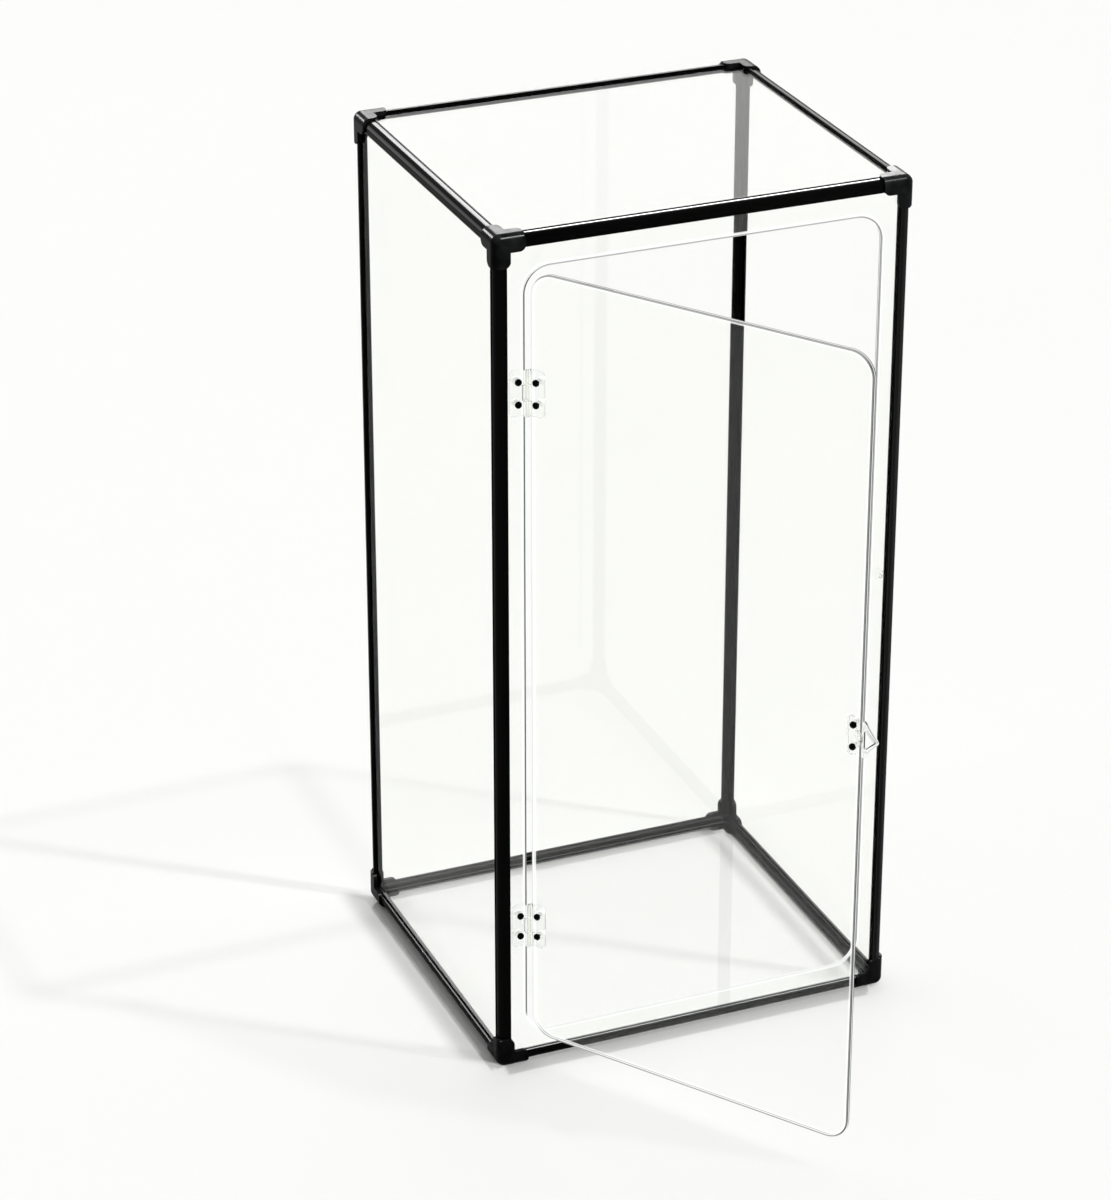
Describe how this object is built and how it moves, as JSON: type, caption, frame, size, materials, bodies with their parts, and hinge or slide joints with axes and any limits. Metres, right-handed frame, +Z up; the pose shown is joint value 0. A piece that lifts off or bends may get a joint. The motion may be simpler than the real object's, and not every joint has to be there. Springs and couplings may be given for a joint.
{
  "type": "display cabinet",
  "caption": "Tall clear-sided display cabinet with a black slotted frame, black three-way corners, and a hinged clear door with a hasp latch in its front.",
  "frame": {"origin": "middle of the cabinet's footprint, at the level of the surface that its four bottom connectors stand on", "axes": "+Z up, -Y towards the viewer who faces the door, +X to that viewer's right, where the latch closes; the hinges are on the -X side"},
  "size_m": [0.3036, 0.4929, 0.6296],
  "materials": {
    "black_strip": "gloss",
    "black_corner": "gloss",
    "clear_sheet": "gloss",
    "clear_fitting": "gloss",
    "clear_pin": "gloss",
    "black_screw": "satin",
    "clear_nut": "gloss"
  },
  "bodies": {
    "cabinet": {"bottom_rail_back": "black_strip", "bottom_rail_front": "black_strip", "bottom_rail_left": "black_strip", "bottom_rail_right": "black_strip", "corner_bottom_back_left": "black_corner", "corner_bottom_back_right": "black_corner", "corner_bottom_front_left": "black_corner", "corner_bottom_front_right": "black_corner", "corner_top_back_left": "black_corner", "corner_top_back_right": "black_corner", "corner_top_front_left": "black_corner", "corner_top_front_right": "black_corner", "latch_keeper": "clear_fitting", "lower_hinge_frame_leaf": "clear_fitting", "lower_hinge_frame_nuts": "clear_nut", "lower_hinge_frame_screws": "black_screw", "lower_hinge_pin": "clear_pin", "panel_back": "clear_sheet", "panel_bottom": "clear_sheet", "panel_front": "clear_sheet", "panel_left": "clear_sheet", "panel_right": "clear_sheet", "panel_top": "clear_sheet", "post_back_left": "black_strip", "post_back_right": "black_strip", "post_front_left": "black_strip", "post_front_right": "black_strip", "top_rail_back": "black_strip", "top_rail_front": "black_strip", "top_rail_left": "black_strip", "top_rail_right": "black_strip", "upper_hinge_frame_leaf": "clear_fitting", "upper_hinge_frame_nuts": "clear_nut", "upper_hinge_frame_screws": "black_screw", "upper_hinge_pin": "clear_pin"},
    "door": {"door_panel": "clear_sheet", "latch_nuts": "clear_nut", "latch_pin": "clear_pin", "latch_plate": "clear_fitting", "latch_screws": "black_screw", "lower_hinge_door_leaf": "clear_fitting", "lower_hinge_door_nuts": "clear_nut", "lower_hinge_door_screws": "black_screw", "upper_hinge_door_leaf": "clear_fitting", "upper_hinge_door_nuts": "clear_nut", "upper_hinge_door_screws": "black_screw"},
    "tongue": {"latch_tongue": "clear_fitting"}
  },
  "joints": [
    {"name": "door_hinge", "type": "hinge", "parent": "cabinet", "child": "door", "pos_m": [-0.1285, -0.1338, 0.3148], "axis": [0, 0, -1], "range_deg": [-56, 84]},
    {"name": "tongue_hinge", "type": "hinge", "parent": "door", "child": "tongue", "pos_m": [0.01477, -0.34656, 0.3368], "axis": [0, 0, -1], "range_deg": [0, 110]}
  ]
}
